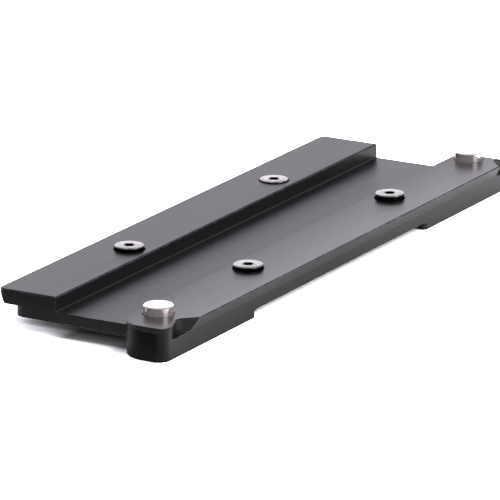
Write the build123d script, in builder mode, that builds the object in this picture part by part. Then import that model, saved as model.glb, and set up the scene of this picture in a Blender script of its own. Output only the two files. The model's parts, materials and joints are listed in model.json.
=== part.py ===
from build123d import *
import math
import os

# Extension plate, in millimetres. X runs along the plate to the far end, Y from the rail to the strip,
# Z up. The origin is at the middle of the plate, on its flat underside, on the dovetail's centre plane.

# Plate
plate_length = 217.8
plate_height = 8.7
channel_depth = 5.1
channel_fillet = 0.5
edge_break = 0.4
underside_break = 0.5
foot_edge_break = 0.1

# Dovetail along both long sides
dovetail_half_width = 37.1
dovetail_angle = 30.0
rail_width = 21.1
rail_flank_height = 4.5
strip_width = 22.3
strip_flank_height = 5.0
strip_tip_land = 0.6
strip_neck_inset = 5.4
lip_corner_radius = 2.6
neck_corner_radius = 5.0

# Rail, which runs on past the plate at both ends
near_overhang = 14.9
far_overhang = 4.1
boss_inner_radius = 11.0
boss_outer_radius = 4.0
far_corner_radius = 1.0
near_end_bevel = 1.2
far_end_bevel = 0.9

# Feet under the two ends of the rail
foot_height = 2.4
foot_length = 59.5
foot_corner_radius = 1.5

# Clearance recess beside each stop pin, measured from the pin's centre line
recess_ramp_offset = 3.0
recess_start_offset = 11.2
recess_slope = 19.2
recess_radius = 3.5

# Stop pins
near_pin_inset = 16.0
far_pin_inset = 6.5
pin_from_channel = 7.2
pin_diameter = 10.0
pin_standing = 3.3
pin_dome = 0.3
pin_rim_chamfer = 0.25
pin_wall = 1.3
pin_roof = 1.6
pin_bore_clearance = 0.3
pin_flange_height = 1.2
pin_flange_width = 0.95
pin_flange_clearance = 0.05
pin_neck_length = 3.0

# Springs and plugs under the stop pins
plug_thickness = 1.6
plug_inset = 0.2
plug_clearance = 0.02
plug_slot_width = 1.2
plug_slot_depth = 0.6
spring_wire = 0.6
spring_wire_sides = 8
spring_side_clearance = 0.35
spring_end_clearance = 0.05
spring_turns = 5.5

# Captive screws
screw_spacing_x = 98.0
screw_from_dovetail = 14.3
head_diameter = 10.0
head_height = 4.0
head_bevel = 0.3
head_side_clearance = 0.4
head_sink = 0.3
socket_width = 3.3
socket_depth = 2.0
screw_length = 11.65
thread_diameter = 6.0
thread_length = 3.4
thread_chamfer = 0.6
thread_clearance = 0.3
waist_diameter = 4.6
lift_near_left = 1.43
lift_far_left = 0.55
lift_near_right = 1.51
lift_far_right = 1.85

# Retaining rings
ring_thickness = 0.8
ring_width = 1.5
ring_bore_clearance = 0.2
ring_clearance = 0.05
ring_gap = 1.6

# Places that follow from the sizes above
channel_rail_side = dovetail_half_width - rail_width
channel_strip_side = dovetail_half_width - strip_width
channel_floor = plate_height - channel_depth
flank_run = math.tan(math.radians(dovetail_angle))
rail_flank_foot = plate_height - rail_flank_height
rail_neck_half_width = dovetail_half_width - rail_flank_height * flank_run
strip_flank_foot = plate_height - strip_flank_height
strip_tip_foot = plate_height - strip_tip_land
strip_lip_half_width = dovetail_half_width - (strip_flank_height - strip_tip_land) * flank_run
strip_neck_half_width = dovetail_half_width - strip_neck_inset
rail_near_end = -plate_length / 2 - near_overhang
rail_far_end = plate_length / 2 + far_overhang
rail_length = rail_far_end - rail_near_end
rail_middle = (rail_far_end + rail_near_end) / 2
rail_neck_width = rail_neck_half_width - channel_rail_side
feet_gap = rail_length - 2 * foot_length
full_height = plate_height + foot_height
beyond = dovetail_half_width + near_overhang
near_pin_x = rail_near_end + near_pin_inset
far_pin_x = rail_far_end - far_pin_inset
pin_y = -channel_rail_side - pin_from_channel
screw_spacing_y = 2 * (dovetail_half_width - screw_from_dovetail)
counterbore_radius = head_diameter / 2 + head_side_clearance
counterbore_depth = head_height + head_sink
counterbore_floor = plate_height - counterbore_depth
ring_bore_radius = waist_diameter / 2 + ring_bore_clearance
ring_radius = ring_bore_radius + ring_width
thread_hole_radius = thread_diameter / 2 + thread_clearance
pin_bore_radius = pin_diameter / 2 + pin_bore_clearance
flange_radius = pin_diameter / 2 + pin_flange_width
cavity_radius = flange_radius + pin_flange_clearance
cavity_top = plate_height - pin_neck_length
pin_top = plate_height + pin_standing
pin_foot = cavity_top - pin_flange_height
pin_ceiling = pin_top - pin_roof
pin_inner_radius = pin_diameter / 2 - pin_wall
plug_bottom = plug_inset - foot_height
plug_top = plug_bottom + plug_thickness

os.makedirs("parts", exist_ok=True)

# Outline of the rail and of the bosses at its ends, seen from above
with BuildSketch() as rail_outline:
    with Locations((rail_middle, -channel_rail_side)):
        Rectangle(rail_length, rail_neck_width, align=(Align.CENTER, Align.MAX))
    fillet(rail_outline.vertices().group_by(Axis.X)[-1], radius=far_corner_radius)
    for side_y, corner_radius in (
        (-rail_neck_half_width, boss_outer_radius),
        (-channel_rail_side, boss_inner_radius),
    ):
        fillet(rail_outline.vertices().sort_by_distance((rail_near_end, side_y))[0], radius=corner_radius)

# Plate, rail, bosses and feet are machined from one bar: its section is drawn once, then cut to plan
with BuildPart() as base_plate:
    with BuildSketch(Plane.YZ.offset(rail_near_end)) as section:
        with BuildLine():
            Polyline(
                (-rail_neck_half_width, 0),
                (-rail_neck_half_width, rail_flank_foot),
                (-dovetail_half_width, plate_height),
                (-channel_rail_side, plate_height),
                (-channel_rail_side, channel_floor),
                (channel_strip_side, channel_floor),
                (channel_strip_side, plate_height),
                (dovetail_half_width, plate_height),
                (dovetail_half_width, strip_tip_foot),
                (strip_lip_half_width, strip_flank_foot),
                (strip_neck_half_width, strip_flank_foot),
                (strip_neck_half_width, 0),
                close=True,
            )
        make_face()
        for wall in (-channel_rail_side, channel_strip_side):
            fillet(section.vertices().sort_by_distance((wall, channel_floor))[0], radius=channel_fillet)
    extrude(amount=rail_length)

    # Plan: the strip and channel stop at the plate's ends, and the rail runs on to its own outline
    with BuildSketch() as plan:
        add(rail_outline.sketch)
        with Locations((near_pin_x - recess_start_offset, -rail_neck_half_width)):
            Rectangle(rail_length, beyond, align=(Align.MIN, Align.MAX))
        with Locations((0, -channel_rail_side)):
            Rectangle(plate_length, channel_rail_side + dovetail_half_width, align=(Align.CENTER, Align.MIN))
        fillet(plan.vertices().group_by(Axis.Y)[-1], radius=lip_corner_radius)
    extrude(amount=plate_height, mode=Mode.INTERSECT)

    # Rounded corners of the strip's neck, under its lip
    for side, outward in ((-1, Align.MAX), (1, Align.MIN)):
        corner_x = side * (plate_length / 2 - neck_corner_radius)
        with BuildSketch():
            with Locations((corner_x, strip_neck_half_width - neck_corner_radius)):
                Rectangle(neck_corner_radius, neck_corner_radius, align=(outward, Align.MIN))
                Circle(neck_corner_radius, mode=Mode.SUBTRACT)
        extrude(amount=strip_flank_foot, mode=Mode.SUBTRACT)

    # Clearance recess outside each stop pin, down to the flank's foot
    for pin_x, side in ((near_pin_x, 1), (far_pin_x, -1)):
        ramp_x = pin_x + side * recess_ramp_offset
        start_x = pin_x - side * recess_start_offset
        rise = math.tan(math.radians(recess_slope))
        reach = recess_ramp_offset + recess_start_offset
        depth = (rise * reach + dovetail_half_width - rail_neck_half_width) / (1 + rise)
        with BuildSketch(Plane.XY.offset(rail_flank_foot)):
            with BuildLine():
                FilletPolyline(
                    (ramp_x + side * beyond, -dovetail_half_width - beyond),
                    (ramp_x - side * depth, -dovetail_half_width + depth),
                    (start_x, -rail_neck_half_width),
                    (start_x - side * beyond, -rail_neck_half_width),
                    radius=recess_radius,
                )
                Polyline(
                    (start_x - side * beyond, -rail_neck_half_width),
                    (start_x - side * beyond, -dovetail_half_width - beyond),
                    (ramp_x + side * beyond, -dovetail_half_width - beyond),
                )
            make_face()
        extrude(amount=rail_flank_height, mode=Mode.SUBTRACT)

    # Broken edges round the top faces
    top_faces = base_plate.faces().filter_by(Plane.XY).group_by(Axis.Z)[-1]
    chamfer(top_faces.edges(), length=edge_break)

    # Feet under both ends of the rail, to the rail's outline, with rounded corners at their inner ends
    with BuildSketch(Plane.XY.offset(-foot_height)) as feet:
        add(rail_outline.sketch)
        with Locations((rail_middle, -channel_rail_side)):
            Rectangle(feet_gap, rail_neck_width, align=(Align.CENTER, Align.MAX), mode=Mode.SUBTRACT)
        foot_ends = feet.vertices().filter_by_position(
            Axis.X, rail_near_end + foot_length, rail_far_end - foot_length
        )
        fillet(foot_ends, radius=foot_corner_radius)
    extrude(amount=foot_height)
    chamfer(base_plate.faces().sort_by(Axis.Z)[:2].edges(), length=foot_edge_break)

    # Broken lower edge of the rail between the feet
    with BuildSketch(Plane.YZ.offset(rail_near_end + foot_length)):
        with BuildLine():
            Polyline(
                (-rail_neck_half_width, 0),
                (-rail_neck_half_width + underside_break, 0),
                (-rail_neck_half_width, underside_break),
                close=True,
            )
        make_face()
    extrude(amount=feet_gap, mode=Mode.SUBTRACT)

    # Straight bevel across the top of both end faces of the rail
    for end_x, side, bevel in ((rail_near_end, 1, near_end_bevel), (rail_far_end, -1, far_end_bevel)):
        with BuildSketch(Plane.XZ):
            with BuildLine():
                Polyline(
                    (end_x, plate_height),
                    (end_x + side * bevel, plate_height),
                    (end_x, plate_height - bevel),
                    close=True,
                )
            make_face()
        extrude(amount=dovetail_half_width, mode=Mode.SUBTRACT)

    # Counterbored holes for the screws, with a step for the retaining ring
    with Locations(Plane.XY.offset(plate_height)):
        with GridLocations(screw_spacing_x, screw_spacing_y, 2, 2):
            CounterBoreHole(thread_hole_radius, counterbore_radius, counterbore_depth)
            Hole(ring_radius + ring_clearance, counterbore_depth + ring_thickness)

    # Stepped bores for the stop pins
    for pin_x in (near_pin_x, far_pin_x):
        with BuildSketch(Plane.XY.offset(-foot_height)):
            with Locations((pin_x, pin_y)):
                Circle(cavity_radius)
        extrude(amount=cavity_top + foot_height, mode=Mode.SUBTRACT)
        with BuildSketch(Plane.XY.offset(cavity_top)):
            with Locations((pin_x, pin_y)):
                Circle(pin_bore_radius)
        extrude(amount=pin_neck_length, mode=Mode.SUBTRACT)

base_plate.part.label = "base_plate"
export_step(base_plate.part, "parts/base_plate.step")

# Captive screws, each shown at the height to which it has been turned, with its retaining ring
screws = (
    ("near_left", -screw_spacing_x / 2, screw_spacing_y / 2, lift_near_left),
    ("far_left", screw_spacing_x / 2, screw_spacing_y / 2, lift_far_left),
    ("near_right", -screw_spacing_x / 2, -screw_spacing_y / 2, lift_near_right),
    ("far_right", screw_spacing_x / 2, -screw_spacing_y / 2, lift_far_right),
)
for place, screw_x, screw_y, lift in screws:
    head_top = plate_height + lift
    head_foot = head_top - head_height
    screw_tip = head_top - screw_length
    thread_top = screw_tip + thread_length
    head_radius = head_diameter / 2
    thread_radius = thread_diameter / 2
    waist_radius = waist_diameter / 2
    with BuildPart() as screw:
        with BuildSketch(Plane((screw_x, screw_y, 0), x_dir=(1, 0, 0), z_dir=(0, -1, 0))):
            with BuildLine():
                Polyline(
                    (0, head_top),
                    (head_radius - head_bevel, head_top),
                    (head_radius, head_top - head_bevel),
                    (head_radius, head_foot),
                    (waist_radius, head_foot),
                    (waist_radius, thread_top + thread_radius - waist_radius),
                    (thread_radius, thread_top),
                    (thread_radius, screw_tip + thread_chamfer),
                    (thread_radius - thread_chamfer, screw_tip),
                    (0, screw_tip),
                    close=True,
                )
            make_face()
        revolve(axis=Axis((screw_x, screw_y, 0), (0, 0, 1)))
        with BuildSketch(Plane.XY.offset(head_top)):
            with Locations((screw_x, screw_y)):
                RegularPolygon(socket_width / 2, 6, major_radius=False)
        extrude(amount=-socket_depth, mode=Mode.SUBTRACT)
    screw.part.label = "screw_" + place
    export_step(screw.part, "parts/screw_" + place + ".step")

    with BuildPart() as ring:
        with BuildSketch(Plane.XY.offset(counterbore_floor)):
            with Locations((screw_x, screw_y)):
                Circle(ring_radius)
                Circle(ring_bore_radius, mode=Mode.SUBTRACT)
                Rectangle(ring_gap, ring_radius, align=(Align.CENTER, Align.MIN), mode=Mode.SUBTRACT)
        extrude(amount=-ring_thickness)
    ring.part.label = "ring_" + place
    export_step(ring.part, "parts/ring_" + place + ".step")

# Stop pins with their springs and plugs
for place, pin_x in (("near", near_pin_x), ("far", far_pin_x)):
    pin_radius = pin_diameter / 2
    with BuildPart() as stop_pin:
        with BuildSketch(Plane((pin_x, pin_y, 0), x_dir=(1, 0, 0), z_dir=(0, -1, 0))):
            with BuildLine():
                dome_edge = pin_top - pin_dome
                SagittaArc((0, pin_top), (pin_radius - pin_rim_chamfer, dome_edge), pin_dome / 4)
                Polyline(
                    (pin_radius - pin_rim_chamfer, dome_edge),
                    (pin_radius, dome_edge - pin_rim_chamfer),
                    (pin_radius, cavity_top),
                    (flange_radius, cavity_top),
                    (flange_radius, pin_foot),
                    (pin_inner_radius, pin_foot),
                    (pin_inner_radius, pin_ceiling),
                    (0, pin_ceiling),
                    (0, pin_top),
                )
            make_face()
        revolve(axis=Axis((pin_x, pin_y, 0), (0, 0, 1)))
    stop_pin.part.label = "stop_pin_" + place
    export_step(stop_pin.part, "parts/stop_pin_" + place + ".step")

    coil_radius = pin_inner_radius - spring_side_clearance - spring_wire / 2
    coil_foot = plug_top + spring_end_clearance + spring_wire / 2
    coil_height = pin_ceiling - spring_end_clearance - spring_wire / 2 - coil_foot
    with BuildPart() as spring:
        with BuildLine() as coil:
            Helix(coil_height / spring_turns, coil_height, coil_radius, center=(pin_x, pin_y, coil_foot))
        with BuildSketch(Plane(coil.line @ 0, z_dir=coil.line % 0)):
            RegularPolygon(spring_wire / 2, spring_wire_sides)
        sweep(is_frenet=True)
    spring.part.label = "spring_" + place
    export_step(spring.part, "parts/spring_" + place + ".step")

    with BuildPart() as plug:
        with BuildSketch(Plane.XY.offset(plug_bottom)):
            with Locations((pin_x, pin_y)):
                Circle(cavity_radius - plug_clearance)
        extrude(amount=plug_thickness)
        with BuildSketch(Plane.XY.offset(plug_bottom)):
            with Locations((pin_x, pin_y)):
                Rectangle(2 * cavity_radius, plug_slot_width)
        extrude(amount=plug_slot_depth, mode=Mode.SUBTRACT)
    plug.part.label = "plug_" + place
    export_step(plug.part, "parts/plug_" + place + ".step")
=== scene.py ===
import json
import math

import bmesh
import bpy
from mathutils import Matrix, Vector


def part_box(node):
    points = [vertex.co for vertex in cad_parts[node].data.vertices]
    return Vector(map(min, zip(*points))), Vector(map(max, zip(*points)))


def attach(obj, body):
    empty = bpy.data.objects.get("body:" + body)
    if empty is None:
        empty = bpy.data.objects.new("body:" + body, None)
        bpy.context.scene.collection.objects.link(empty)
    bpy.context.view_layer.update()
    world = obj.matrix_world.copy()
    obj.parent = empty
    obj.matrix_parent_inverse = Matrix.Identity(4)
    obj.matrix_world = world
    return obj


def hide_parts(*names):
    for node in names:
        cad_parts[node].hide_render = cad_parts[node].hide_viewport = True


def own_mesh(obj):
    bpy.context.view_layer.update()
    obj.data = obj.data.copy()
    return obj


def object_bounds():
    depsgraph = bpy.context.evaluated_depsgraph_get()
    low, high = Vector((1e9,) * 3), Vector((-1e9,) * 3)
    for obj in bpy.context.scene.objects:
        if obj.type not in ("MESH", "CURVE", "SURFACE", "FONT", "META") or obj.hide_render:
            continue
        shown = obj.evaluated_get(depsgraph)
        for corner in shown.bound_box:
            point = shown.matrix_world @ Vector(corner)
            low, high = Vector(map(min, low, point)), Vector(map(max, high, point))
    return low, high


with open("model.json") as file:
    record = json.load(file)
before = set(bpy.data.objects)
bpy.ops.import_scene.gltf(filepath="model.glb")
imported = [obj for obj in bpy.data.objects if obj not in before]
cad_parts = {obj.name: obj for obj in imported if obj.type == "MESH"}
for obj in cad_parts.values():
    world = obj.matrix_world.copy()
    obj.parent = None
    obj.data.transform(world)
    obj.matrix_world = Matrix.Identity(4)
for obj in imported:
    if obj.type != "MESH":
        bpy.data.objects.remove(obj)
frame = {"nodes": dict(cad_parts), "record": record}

cad_box = [list(corner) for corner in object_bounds()]
nodes = frame["nodes"]

# Camera: the photograph's, beyond the near end on the rail's side, far off with a long lens
CAMERA_YAW = math.radians(29.722)
CAMERA_PITCH = math.radians(16.267)
CAMERA_TARGET = Vector((-0.0123, -0.00094, 0.00331))
CAMERA_DISTANCE = 1.989
CAMERA_LENS = 425.47
CAMERA_SHIFT = (0.00842, -0.00518)
CAMERA_CLIP = (0.1, 50.0)

# Floor, at the underside of the rail's feet, and the even tone that diffuse light finds there
FLOOR_HEIGHT = cad_box[0][2]
FLOOR_SIZE = 12.0
FLOOR_BOUNCE = (0.75, 0.75, 0.75, 1.0)

# Floor as the camera sees it: overexposed, with a painted shadow in the corner under the plate's near end
FLOOR_SEEN = (4.5, 4.5, 4.5, 1.0)
FLOOR_PAINTED_SHADOW = (0.25, 0.25, 0.25, 1.0)
POCKET_NEAR = (-0.1225, -0.1145)
POCKET_FAR = (-0.105, -0.095)
POCKET_RIGHT = (-0.024, -0.017)
POCKET_LEFT = (0.008, 0.036)

# Floor as reflections show it, with painted light and shade: levels along X that are dark before the near
# end and brightest towards the far end, a least share of painted light outside the rail, painted shade under
# the plate
MIRRORED_ALONG = ((-0.138, 0.04), (-0.112, 1.0), (0.0, 0.9), (0.13, 1.7))
MIRRORED_REACH = 0.2
MIRRORED_OUTSIDE = (-0.050, -0.030)
MIRRORED_OUTSIDE_PAINTED_LIGHT = 0.27
MIRRORED_UNDER = (-0.047, -0.037)
MIRRORED_PAINTED_SHADE_SHARE = 0.85

# Light: a lit backdrop beyond the plate's far end, in a dimmer room that is dimmest overhead
BACKDROP = 1.75
BACKDROP_TOWARDS = (0.766, 0.643, 0.0)
BACKDROP_EDGE = (0.68, 0.93)
BACKDROP_TOP = (0.42, 0.72)
ROOM = 0.34
OVERHEAD = 0.3
STUDIO_TINT = (0.985, 0.955, 1.03, 1.0)

# Softbox on the camera's right, where an edge is a range of the cosine of the angle to the light
SOFTBOX = 2.5
SOFTBOX_TOWARDS = (-0.077, -0.936, 0.342)
SOFTBOX_EDGE = (0.94, 0.97)

# Sun: a broad one, high on the camera's right
SUN_STRENGTH = 2.0
SUN_ANGLE = math.radians(32.0)
SUN_FROM = Vector((0.80, -0.60, 1.0))

# Anodised plate: its tones and roughness, and how much smoother it gets towards the rail's side
PLATE_TONES = ((0.0040, 0.0040, 0.0047, 1.0), (0.0065, 0.0065, 0.0075, 1.0))
PLATE_ROUGHNESS = (0.38, 0.395)
PLATE_SPECULAR = 0.5
RAIL_SIDE = (-0.036, -0.016)
RAIL_SMOOTHER = (0.09, 0.12)

# Worn edges of the plate: their width, where the black is rubbed off, how far, and what shows
EDGE_RADIUS = 0.00022
EDGE_SAMPLES = 6
EDGE_LIKENESS = (0.92, 0.985)
EDGE_RUBBED = (0.40, 0.66)
EDGE_WEAR = (0.0, 0.9)
BARE_ALUMINIUM = (0.55, 0.55, 0.56, 1.0)

# Shaders: the height of a bump, an even stretch, ranges of a value, and plain colours
BUMP_DISTANCE = 0.00002
EVEN = (1.0, 1.0, 1.0)
NOISE_MIDDLE = (0.3, 0.7)
NOISE_WIDE = (0.2, 0.8)
SIDE_TO_TOP = (0.2, 0.6)
RISING = (0.0, 1.0)
FALLING = (1.0, 0.0)
WHITE = (1.0, 1.0, 1.0, 1.0)
BLACK = (0.0, 0.0, 0.0, 1.0)

# Screws, in metres, where a row's place is measured down from the head's top
SCREW_PLACES = ("near_left", "far_left", "near_right", "far_right")
SCREW_FACETS = 72
SCREW_LENGTH = 0.01165
SHARP_ANGLE = math.radians(38.0)
HEAD_RADIUS = 0.005
HEAD_HEIGHT = 0.004
HEAD_EDGE = 0.0003
HEAD_EDGE_STEPS = 3
HEAD_FOOT_EDGE = HEAD_EDGE / 2
KNURL_DEPTH = 0.0002
KNURL_MARGIN = 0.0005
SOCKET_HALF_WIDTH = 0.00165
SOCKET_DEPTH = 0.002
SOCKET_EDGE = 0.00015
SOCKET_CONE = 0.0005
SOCKET_SECTOR = math.radians(60.0)
WAIST_RADIUS = 0.0023
THREAD_RADIUS = 0.003
THREAD_ROOT = 0.00243
THREAD_LENGTH = 0.0034
THREAD_TOP = SCREW_LENGTH - THREAD_LENGTH
THREAD_PITCH = 0.001
THREAD_RUNOUT = 0.0006
THREAD_TAPER = 0.0004
THREAD_CREST = 1.25
THREAD_ROWS = 34


class Tree:
    """The shader nodes of a material or of the world, with short ways to add the usual ones"""

    def __init__(self, owner):
        owner.use_nodes = True
        self.nodes = owner.node_tree.nodes
        self.links = owner.node_tree.links

    def feed(self, socket, value):
        """Links a socket to a node's output, or sets it to a fixed value"""
        if isinstance(value, bpy.types.NodeSocket):
            self.links.new(value, socket)
        else:
            socket.default_value = value

    def place(self, coordinate):
        """A texture coordinate, such as Object or Normal"""
        return self.nodes.new("ShaderNodeTexCoord").outputs[coordinate]

    def axes(self, vector):
        """The X, Y and Z of a vector, by name"""
        split = self.nodes.new("ShaderNodeSeparateXYZ")
        self.feed(split.inputs["Vector"], vector)
        return split.outputs

    def noise(self, scale, detail=3.0, stretch=EVEN, roughness=0.5):
        """A noise texture in object coordinates, stretched by a factor along each axis"""
        mapping = self.nodes.new("ShaderNodeMapping")
        self.feed(mapping.inputs["Vector"], self.place("Object"))
        self.feed(mapping.inputs["Scale"], stretch)
        texture = self.nodes.new("ShaderNodeTexNoise")
        self.feed(texture.inputs["Vector"], mapping.outputs["Vector"])
        self.feed(texture.inputs["Scale"], scale)
        self.feed(texture.inputs["Detail"], detail)
        self.feed(texture.inputs["Roughness"], roughness)
        return texture.outputs["Fac"]

    def remap(self, value, source, target):
        """A value moved from its source range to a target range, and kept inside it"""
        made = self.nodes.new("ShaderNodeMapRange")
        self.feed(made.inputs["Value"], value)
        self.feed(made.inputs["From Min"], source[0])
        self.feed(made.inputs["From Max"], source[1])
        self.feed(made.inputs["To Min"], target[0])
        self.feed(made.inputs["To Max"], target[1])
        return made.outputs["Result"]

    def maths(self, operation, first, second):
        """The result of one operation on two values"""
        made = self.nodes.new("ShaderNodeMath")
        made.operation = operation
        self.feed(made.inputs[0], first)
        self.feed(made.inputs[1], second)
        return made.outputs["Value"]

    def product(self, *values):
        """The product of several values"""
        total = values[0]
        for value in values[1:]:
            total = self.maths("MULTIPLY", total, value)
        return total

    def dot(self, first, second):
        """The dot product of two vectors"""
        made = self.nodes.new("ShaderNodeVectorMath")
        made.operation = "DOT_PRODUCT"
        self.feed(made.inputs[0], first)
        self.feed(made.inputs[1], second)
        return made.outputs["Value"]

    def blend(self, factor, first, second):
        """A colour that goes from the first to the second as the factor goes from 0 to 1"""
        made = self.nodes.new("ShaderNodeMix")
        made.data_type = "RGBA"
        self.feed(made.inputs["Factor"], factor)
        self.feed(made.inputs["A"], first)
        self.feed(made.inputs["B"], second)
        return made.outputs["Result"]

    def bump(self, height, strength):
        """A bump node, which raises a surface by a height"""
        made = self.nodes.new("ShaderNodeBump")
        self.feed(made.inputs["Height"], height)
        self.feed(made.inputs["Strength"], strength)
        self.feed(made.inputs["Distance"], BUMP_DISTANCE)
        return made


def anodised(name):
    """Black anodised aluminium: a fine matt grain, faint milling marks along the plate, worn sharp edges"""
    made = bpy.data.materials.new(name)
    tree = Tree(made)
    shader = tree.nodes["Principled BSDF"]
    patches = tree.noise(scale=35.0)

    edge = tree.nodes.new("ShaderNodeBevel")
    edge.samples = EDGE_SAMPLES
    tree.feed(edge.inputs["Radius"], EDGE_RADIUS)
    flat = tree.nodes.new("ShaderNodeNewGeometry")
    likeness = tree.dot(edge.outputs["Normal"], flat.outputs["True Normal"])
    near_edge = tree.remap(likeness, EDGE_LIKENESS, FALLING)
    rubbed = tree.remap(tree.noise(scale=420.0), EDGE_RUBBED, EDGE_WEAR)
    worn = tree.product(near_edge, rubbed)
    black = tree.blend(tree.remap(patches, NOISE_MIDDLE, RISING), *PLATE_TONES)
    tree.feed(shader.inputs["Base Color"], tree.blend(worn, black, BARE_ALUMINIUM))
    tree.feed(shader.inputs["Metallic"], worn)

    marks = tree.noise(scale=90.0, detail=2.0, stretch=(0.15, 3.0, 3.0))
    across = tree.axes(tree.place("Object"))["Y"]
    on_rail = tree.remap(across, RAIL_SIDE, FALLING)
    smoother = tree.product(on_rail, tree.remap(patches, NOISE_WIDE, RAIL_SMOOTHER))
    matt = tree.remap(marks, NOISE_MIDDLE, PLATE_ROUGHNESS)
    tree.feed(shader.inputs["Roughness"], tree.maths("SUBTRACT", matt, smoother))
    tree.feed(shader.inputs["Specular IOR Level"], PLATE_SPECULAR)

    grain = tree.bump(tree.noise(scale=4200.0, detail=2.0), strength=0.10)
    tree.feed(grain.inputs["Normal"], edge.outputs["Normal"])
    tree.feed(shader.inputs["Normal"], grain.outputs["Normal"])
    return made


def steel(name, tones, roughness, mark_scale, stretch=EVEN, metallic=1.0, sides=None):
    """Bare metal with turning marks or a polish, and painted shade on its sides if a darker colour is given
    for them
    """
    made = bpy.data.materials.new(name)
    tree = Tree(made)
    shader = tree.nodes["Principled BSDF"]
    marks = tree.noise(mark_scale, stretch=stretch)
    stain = tree.noise(scale=700.0, detail=4.0, roughness=0.7)
    colour = tree.blend(tree.remap(stain, NOISE_MIDDLE, RISING), *tones)
    if sides is not None:
        # Painted shade: the sides take the darker colour by their normal, and the tops keep their own
        upward = tree.axes(tree.place("Normal"))["Z"]
        colour = tree.blend(tree.remap(upward, SIDE_TO_TOP, RISING), sides, colour)
    tree.feed(shader.inputs["Base Color"], colour)
    tree.feed(shader.inputs["Roughness"], tree.remap(marks, NOISE_MIDDLE, roughness))
    tree.feed(shader.inputs["Metallic"], metallic)
    tree.feed(shader.inputs["Normal"], tree.bump(marks, strength=0.08).outputs["Normal"])
    return made


# Finishes by material slot, with painted shade darkening the screws' sides
finishes = {
    "anodised_plate": anodised("anodised_plate"),
    "screw_steel": steel(
        "screw_steel",
        tones=((0.13, 0.126, 0.124, 1.0), (0.48, 0.47, 0.46, 1.0)),
        roughness=(0.14, 0.26),
        mark_scale=1600.0,
        # Painted shade on the screws' sides
        sides=(0.035, 0.034, 0.033, 1.0),
    ),
    "pin_steel": steel(
        "pin_steel",
        tones=((0.90, 0.83, 0.78, 1.0), (0.98, 0.92, 0.88, 1.0)),
        roughness=(0.08, 0.14),
        mark_scale=1800.0,
        stretch=(1.0, 1.0, 0.2),
        metallic=0.78,
    ),
    "plug_steel": steel(
        "plug_steel",
        tones=((0.05, 0.05, 0.05, 1.0), (0.09, 0.09, 0.09, 1.0)),
        roughness=(0.35, 0.45),
        mark_scale=2500.0,
    ),
    "spring_steel": steel(
        "spring_steel",
        tones=((0.40, 0.40, 0.41, 1.0), (0.55, 0.55, 0.56, 1.0)),
        roughness=(0.25, 0.35),
        mark_scale=2500.0,
    ),
}


def finish_nodes():
    """Gives each CAD node the finish of its material slot"""
    for entry in frame["record"]["subparts"]:
        piece = nodes[entry["node"]]
        piece.data.materials.clear()
        piece.data.materials.append(finishes[entry["material_slot"]])


def lathe(name, rows, count, dimple):
    """A closed turned mesh: each row gives radius and height for an angle, and the first has a dimple"""
    mesh = bmesh.new()
    rings = []
    for row in rows:
        ring = []
        for step in range(count):
            angle = 2 * math.pi * step / count
            radius, height = row(angle)
            ring.append(mesh.verts.new((radius * math.cos(angle), radius * math.sin(angle), height)))
        rings.append(ring)
    for upper, lower in zip(rings, rings[1:]):
        for step in range(count):
            after = (step + 1) % count
            mesh.faces.new((upper[step], lower[step], lower[after], upper[after]))
    for ring, sunk, order in ((rings[0], dimple, 1), (rings[-1], 0.0, -1)):
        middle = mesh.verts.new((0.0, 0.0, ring[0].co.z - sunk))
        for step in range(count):
            after = (step + 1) % count
            mesh.faces.new((middle, ring[step], ring[after])[::order])
    made = bpy.data.meshes.new(name)
    mesh.to_mesh(made)
    mesh.free()
    return bpy.data.objects.new(name, made)


def round_row(radius, down):
    """A round row of a screw"""
    return lambda angle: (radius, -down)


def socket_row(extra, down):
    """A hexagonal row of the socket, wider by an extra"""
    half = SOCKET_HALF_WIDTH + extra
    return lambda angle: (half / math.cos((angle % SOCKET_SECTOR) - SOCKET_SECTOR / 2), -down)


def knurl_row(down):
    """A row of the knurl, where every other corner is sunk"""
    step = 2 * math.pi / SCREW_FACETS
    return lambda angle: (HEAD_RADIUS - KNURL_DEPTH * (round(angle / step) % 2), -down)


def thread_row(down):
    """A row of the thread, which runs out at its top and tapers at its tip"""
    to_tip = (SCREW_LENGTH - down) / THREAD_RUNOUT
    to_top = (down - THREAD_TOP) / THREAD_RUNOUT
    core = THREAD_ROOT - THREAD_TAPER * (1.0 - min(1.0, to_tip))
    fade = max(0.0, min(1.0, to_tip, to_top))

    def row(angle):
        turn = (down / THREAD_PITCH + angle / (2 * math.pi)) % 1.0
        crest = 1.0 - abs(2.0 * turn - 1.0)
        depth = (THREAD_RADIUS - THREAD_ROOT) * min(1.0, THREAD_CREST * crest)
        return (core + depth * fade, -down)

    return row


def screw_rows():
    """The rows of a low-head cap screw: its socket, head, waist and thread"""
    rows = [
        socket_row(0.0, SOCKET_DEPTH),
        socket_row(0.0, SOCKET_EDGE),
        socket_row(SOCKET_EDGE, 0.0),
        round_row(HEAD_RADIUS - HEAD_EDGE, 0.0),
    ]
    for step in range(1, HEAD_EDGE_STEPS + 1):
        swing = math.pi / 2 * step / HEAD_EDGE_STEPS
        inset = HEAD_EDGE * (1 - math.sin(swing))
        rows.append(round_row(HEAD_RADIUS - inset, HEAD_EDGE * (1 - math.cos(swing))))
    rows += [
        knurl_row(KNURL_MARGIN),
        knurl_row(HEAD_HEIGHT - KNURL_MARGIN),
        round_row(HEAD_RADIUS, HEAD_HEIGHT - HEAD_FOOT_EDGE),
        round_row(HEAD_RADIUS - HEAD_FOOT_EDGE, HEAD_HEIGHT),
        round_row(WAIST_RADIUS + HEAD_FOOT_EDGE, HEAD_HEIGHT),
        round_row(WAIST_RADIUS, HEAD_HEIGHT + HEAD_FOOT_EDGE),
        round_row(WAIST_RADIUS, THREAD_TOP - THREAD_ROOT + WAIST_RADIUS),
    ]
    for step in range(THREAD_ROWS + 1):
        rows.append(thread_row(THREAD_TOP + THREAD_LENGTH * step / THREAD_ROWS))
    return rows


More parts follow.
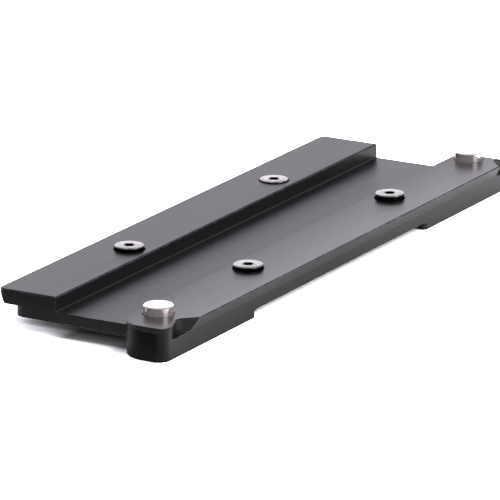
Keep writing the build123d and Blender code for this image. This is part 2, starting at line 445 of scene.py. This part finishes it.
def screw(node):
    """A turned screw in its node's place"""
    low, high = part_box(node)
    piece = lathe(node + "_turned", screw_rows(), SCREW_FACETS, SOCKET_CONE)
    piece.data.transform(Matrix.Translation(((low[0] + high[0]) / 2, (low[1] + high[1]) / 2, high[2])))
    piece.data.materials.append(finishes["screw_steel"])
    piece.data.shade_smooth()
    piece.data.set_sharp_from_angle(angle=SHARP_ANGLE)
    bpy.context.scene.collection.objects.link(piece)
    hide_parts(node)
    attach(piece, node)


def pressed_spring(end):
    """The spring under a stop pin, as a copy of its node's mesh that is fixed to the plate"""
    node = "spring_" + end
    piece = bpy.data.objects.new(node + "_coil", nodes[node].data.copy())
    bpy.context.scene.collection.objects.link(piece)
    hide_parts(node)
    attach(piece, "plate")
    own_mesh(piece)


def mirrored_floor(tree, x, y):
    """The floor's colour as reflections show it, with painted light and shade by place"""
    brightest = max(level for _, level in MIRRORED_ALONG)
    curve = tree.nodes.new("ShaderNodeFloatCurve")
    points = curve.mapping.curves[0].points
    for place, level in MIRRORED_ALONG:
        points.new((place + MIRRORED_REACH) / (2 * MIRRORED_REACH), level / brightest)
    points[0].location = (0.0, MIRRORED_ALONG[0][1] / brightest)
    points[-1].location = (1.0, MIRRORED_ALONG[-1][1] / brightest)
    for point in points:
        point.handle_type = "VECTOR"
    curve.mapping.update()
    # Painted light and shade along X: dark before the near end, brightest towards the far end
    tree.feed(curve.inputs["Value"], tree.remap(x, (-MIRRORED_REACH, MIRRORED_REACH), RISING))
    # Painted light beside the rail
    least = tree.remap(y, MIRRORED_OUTSIDE, (MIRRORED_OUTSIDE_PAINTED_LIGHT, 0.0))
    along = tree.maths("MAXIMUM", curve.outputs["Value"], least)
    # Painted shade under the plate
    under = tree.remap(y, MIRRORED_UNDER, (1.0, MIRRORED_PAINTED_SHADE_SHARE))
    return tree.blend(tree.product(along, under), BLACK, (brightest, brightest, brightest, 1.0))


def seen_floor(tree, x, y):
    """The floor's colour as the camera sees it, darkened by a painted shadow at the plate's near end"""
    # Painted shadow, which fades in and out over these ranges of X and Y
    painted_shadow = tree.product(
        tree.remap(x, POCKET_NEAR, RISING),
        tree.remap(x, POCKET_FAR, FALLING),
        tree.remap(y, POCKET_RIGHT, RISING),
        tree.remap(y, POCKET_LEFT, FALLING),
    )
    return tree.blend(painted_shadow, FLOOR_SEEN, FLOOR_PAINTED_SHADOW)


def floor():
    """The white table under the plate"""
    half = FLOOR_SIZE / 2
    mesh = bpy.data.meshes.new("floor")
    corners = [(x, y, FLOOR_HEIGHT) for x, y in ((-half, -half), (half, -half), (half, half), (-half, half))]
    mesh.from_pydata(corners, [], [(0, 1, 2, 3)])
    table = bpy.data.objects.new("floor", mesh)
    bpy.context.scene.collection.objects.link(table)
    made = bpy.data.materials.new("floor")
    tree = Tree(made)
    tree.nodes.remove(tree.nodes["Principled BSDF"])
    spot = tree.axes(tree.place("Object"))
    path = tree.nodes.new("ShaderNodeLightPath").outputs
    mirrored = mirrored_floor(tree, spot["X"], spot["Y"])
    reflected = tree.blend(path["Is Glossy Ray"], FLOOR_BOUNCE, mirrored)
    seen = seen_floor(tree, spot["X"], spot["Y"])
    diffuse = tree.nodes.new("ShaderNodeBsdfDiffuse")
    tree.feed(diffuse.inputs["Color"], tree.blend(path["Is Camera Ray"], reflected, seen))
    tree.feed(tree.nodes["Material Output"].inputs["Surface"], diffuse.outputs["BSDF"])
    mesh.materials.append(made)


def surroundings():
    """White for the camera, and for everything else a lit backdrop and a softbox in a dim room"""
    world = bpy.data.worlds.new("studio")
    bpy.context.scene.world = world
    tree = Tree(world)
    direction = tree.place("Generated")
    backdrop = tree.remap(tree.dot(direction, BACKDROP_TOWARDS), BACKDROP_EDGE, (ROOM, BACKDROP))
    below_top = tree.remap(tree.axes(direction)["Z"], BACKDROP_TOP, FALLING)
    lit = tree.remap(tree.product(backdrop, below_top), (0.0, BACKDROP), (OVERHEAD, BACKDROP))
    softbox = tree.remap(tree.dot(direction, SOFTBOX_TOWARDS), SOFTBOX_EDGE, (0.0, SOFTBOX))
    room = tree.nodes["Background"]
    tree.feed(room.inputs["Color"], STUDIO_TINT)
    tree.feed(room.inputs["Strength"], tree.maths("ADD", lit, softbox))
    white = tree.nodes.new("ShaderNodeBackground")
    tree.feed(white.inputs["Color"], WHITE)
    mix = tree.nodes.new("ShaderNodeMixShader")
    tree.feed(mix.inputs["Fac"], tree.nodes.new("ShaderNodeLightPath").outputs["Is Camera Ray"])
    tree.feed(mix.inputs[1], room.outputs["Background"])
    tree.feed(mix.inputs[2], white.outputs["Background"])
    tree.feed(tree.nodes["World Output"].inputs["Surface"], mix.outputs["Shader"])


def sunlight():
    """The sun, which isn't mirrored in the metal"""
    lamp = bpy.data.lights.new("sun", "SUN")
    lamp.energy = SUN_STRENGTH
    lamp.angle = SUN_ANGLE
    sun = bpy.data.objects.new("sun", lamp)
    sun.rotation_mode = "QUATERNION"
    sun.rotation_quaternion = SUN_FROM.to_track_quat("Z", "Y")
    sun.visible_glossy = False
    bpy.context.scene.collection.objects.link(sun)


def camera():
    """The photograph's camera"""
    back = Vector((
        -math.cos(CAMERA_PITCH) * math.cos(CAMERA_YAW),
        -math.cos(CAMERA_PITCH) * math.sin(CAMERA_YAW),
        math.sin(CAMERA_PITCH),
    ))
    right = Vector((math.sin(CAMERA_YAW), -math.cos(CAMERA_YAW), 0.0))
    up = back.cross(right)
    lens = bpy.data.cameras.new("camera")
    lens.lens = CAMERA_LENS
    lens.shift_x, lens.shift_y = CAMERA_SHIFT
    lens.clip_start, lens.clip_end = CAMERA_CLIP
    eye = bpy.data.objects.new("camera", lens)
    turn = Matrix((right, up, back)).transposed().to_4x4()
    eye.matrix_world = Matrix.Translation(CAMERA_TARGET + back * CAMERA_DISTANCE) @ turn
    bpy.context.scene.collection.objects.link(eye)
    bpy.context.scene.camera = eye


finish_nodes()
for place in SCREW_PLACES:
    screw("screw_" + place)
for end in ("near", "far"):
    pressed_spring(end)
floor()
surroundings()
sunlight()
camera()
bpy.context.scene.view_settings.view_transform = "Standard"

bpy.context.view_layer.update()
